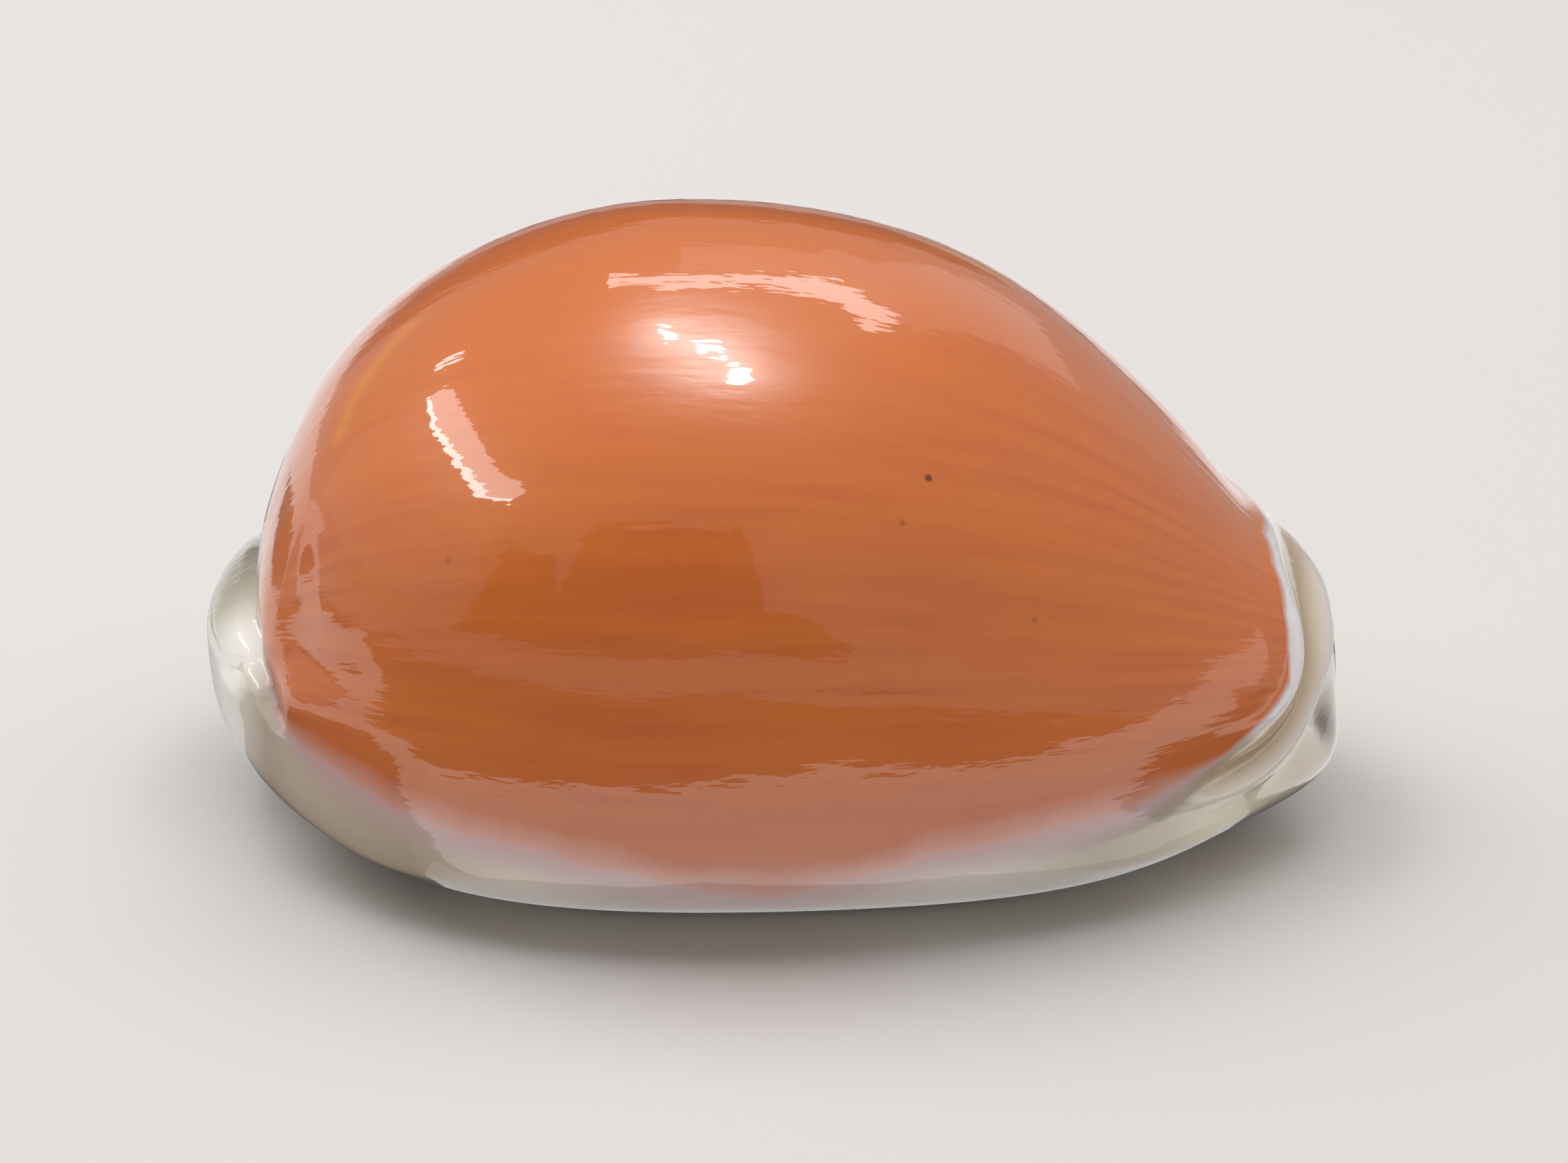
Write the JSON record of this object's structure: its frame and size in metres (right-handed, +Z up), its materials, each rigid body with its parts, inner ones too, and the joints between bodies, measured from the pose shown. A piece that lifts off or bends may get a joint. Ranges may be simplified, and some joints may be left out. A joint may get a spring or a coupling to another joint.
{
  "type": "golden cowrie shell",
  "caption": "Egg-shaped glossy orange cowrie shell with a cream callus round its foot and ends, and a toothed slit underneath.",
  "frame": {"origin": "the surface that the shell rests on, under the middle of its box", "axes": "+Z up through the back, +X towards the front end with the siphon's canal, -Y the outer lip's side"},
  "size_m": [0.0944, 0.0666, 0.051],
  "materials": {
    "shell": "glossy natural shell glaze, orange on the back and cream on the callus"
  },
  "bodies": {
    "root": {"shell": "shell"}
  },
  "joints": []
}
